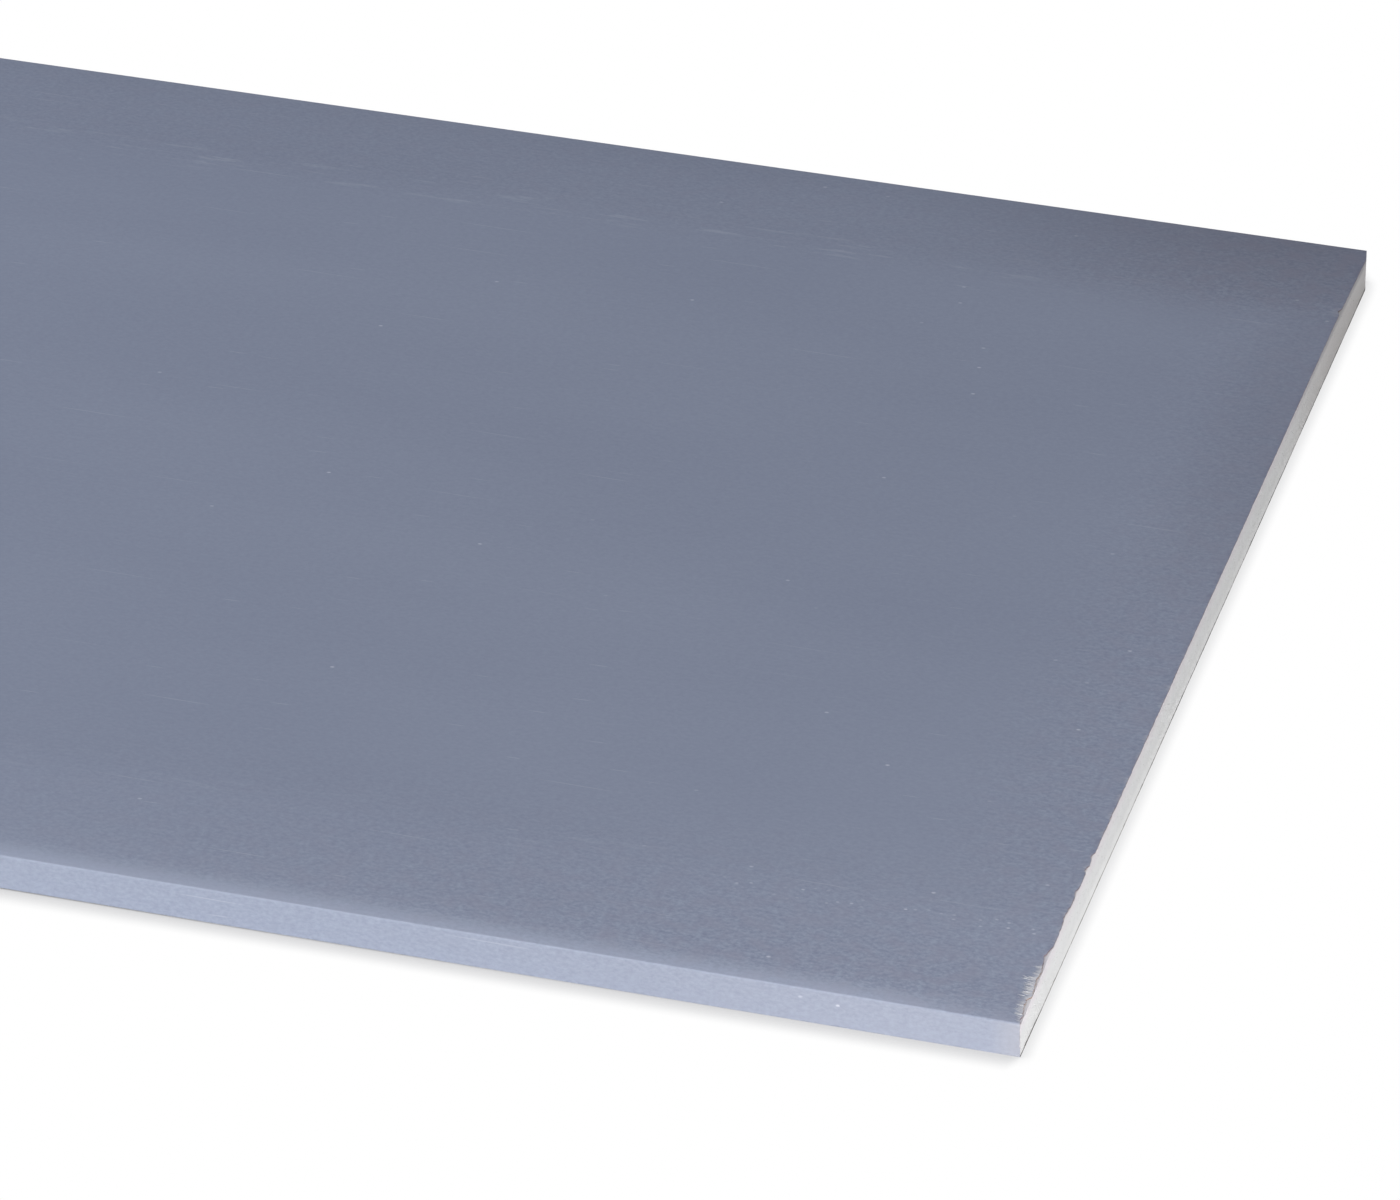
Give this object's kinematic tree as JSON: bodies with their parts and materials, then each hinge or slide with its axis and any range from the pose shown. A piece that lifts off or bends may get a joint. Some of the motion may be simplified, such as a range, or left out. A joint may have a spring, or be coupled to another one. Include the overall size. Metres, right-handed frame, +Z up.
{
  "type": "drywall sheet",
  "caption": "Flat drywall sheet: gypsum core in blue-grey face paper folded round tapered long edges, square cut ends and a grey paper back, for lining walls and ceilings.",
  "frame": {"origin": "middle of the back, on the level floor that the sheet lies on", "axes": "+X along the length, +Y across the width, +Z up out of the face"},
  "size_m": [2.6, 0.6, 0.018],
  "materials": {
    "gypsum": "matt, broken and slightly porous",
    "face_paper": "matt blue-grey paper with a fine lengthwise grain",
    "back_paper": "matt grey-brown recycled paper"
  },
  "bodies": {
    "root": {"gypsum_core": "gypsum", "face_paper": "face_paper", "back_paper": "back_paper"}
  },
  "joints": []
}
